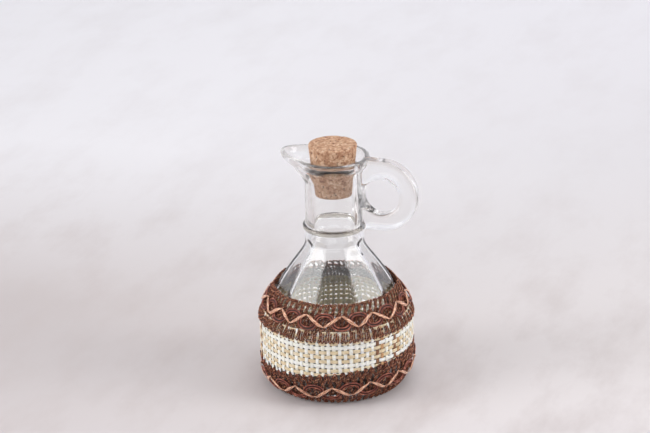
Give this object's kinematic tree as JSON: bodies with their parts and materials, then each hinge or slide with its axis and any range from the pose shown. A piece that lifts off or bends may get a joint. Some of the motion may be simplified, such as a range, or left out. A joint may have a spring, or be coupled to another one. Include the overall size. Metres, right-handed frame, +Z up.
{
  "type": "oil cruet",
  "caption": "Glass oil cruet with a cork stopper, pouring lip and ring handle, its body wrapped in a woven straw band edged with brown braid trims.",
  "frame": {"origin": "centre of the base, on the axis of the neck", "axes": "+Z up along the neck's axis, +X towards the handle, -X towards the pouring lip"},
  "size_m": [0.09, 0.0868, 0.1368],
  "materials": {
    "glass": "clear, fire-polished",
    "cork": "raw agglomerated cork",
    "straw": "plain weave of flat straw",
    "braid": "looped yarn braid",
    "gimp_cord": "thread-wrapped cord",
    "ribbon": "satin"
  },
  "bodies": {
    "jug": {"glass_jug": "glass", "woven_band": "straw", "upper_braid": "braid", "lower_braid": "braid", "upper_scroll_cord_a": "gimp_cord", "upper_scroll_cord_b": "gimp_cord", "lower_scroll_cord_a": "gimp_cord", "lower_scroll_cord_b": "gimp_cord", "upper_ribbon": "ribbon", "lower_ribbon": "ribbon"},
    "cork": {"cork_stopper": "cork"}
  },
  "joints": [
    {"name": "cork_pull", "type": "slide", "parent": "jug", "child": "cork", "axis": [0, 0, 1], "range_m": [0, 0.03]}
  ]
}
